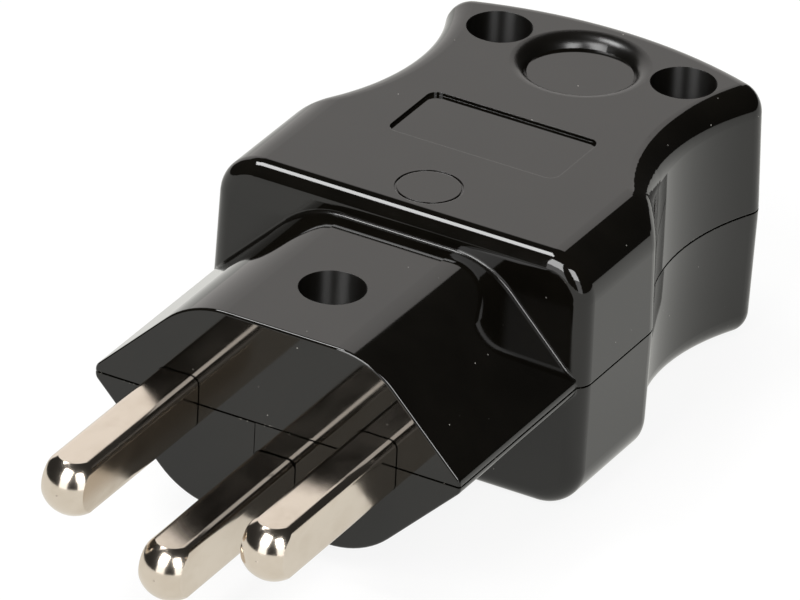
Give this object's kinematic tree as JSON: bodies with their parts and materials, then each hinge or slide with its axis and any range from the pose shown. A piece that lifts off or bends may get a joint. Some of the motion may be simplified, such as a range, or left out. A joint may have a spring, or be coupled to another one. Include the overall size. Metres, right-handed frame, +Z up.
{
  "type": "type j plug",
  "caption": "Rewirable mains plug with rectangular metal pins, a hexagonal nose and a waisted glossy black housing split at mid height.",
  "frame": {"origin": "on the ground under the middle of the plug's bounding box", "axes": "+X across the pins, +Y from the pin tips to the cord inlet, +Z up from the flat underside"},
  "size_m": [0.0364, 0.0796, 0.0242],
  "materials": {
    "housing": "glossy moulded thermoset",
    "pin": "nickel plated, satin",
    "steel": "zinc plated",
    "clamp": "moulded"
  },
  "bodies": {
    "root": {"upper_shell": "housing", "lower_shell": "housing", "line_pin": "pin", "neutral_pin": "pin", "earth_pin": "pin", "terminal_screws": "steel", "housing_screws": "steel", "housing_nuts": "steel", "cord_clamp": "clamp", "clamp_screws": "steel"}
  },
  "joints": []
}
